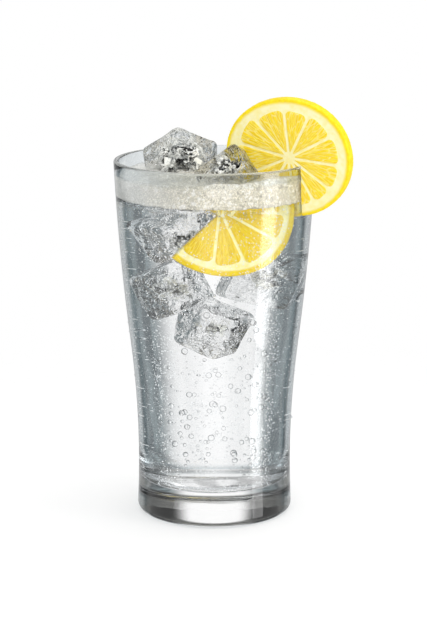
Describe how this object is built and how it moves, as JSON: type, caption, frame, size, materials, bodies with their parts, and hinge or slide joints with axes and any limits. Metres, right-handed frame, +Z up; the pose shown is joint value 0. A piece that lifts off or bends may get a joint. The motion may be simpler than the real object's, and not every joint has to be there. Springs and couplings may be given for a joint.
{
  "type": "glass of gin and tonic",
  "caption": "Tall flared tumbler of clear sparkling drink with froth, ice, a lemon wheel on the rim and a lemon slice in the drink.",
  "frame": {"origin": "centre of the flat foot that the glass stands on, on the axis of the glass", "axes": "+Z up along the axis of the glass; -Y is the front, where the lemon slice shows; +X is to the right, on the lemon wheel's side"},
  "size_m": [0.0997, 0.0856, 0.1823],
  "materials": {
    "glass": "polished clear soda-lime glass",
    "drink": "clear sparkling liquid",
    "froth": "fine wet bubbles",
    "ice": "clear melting ice",
    "lemon": "wet cut lemon with waxy peel"
  },
  "bodies": {
    "root": {"glass": "glass", "drink": "drink", "froth": "froth", "ice_left": "ice", "ice_right": "ice", "lemon_wheel": "lemon", "lemon_slice": "lemon"}
  },
  "joints": []
}
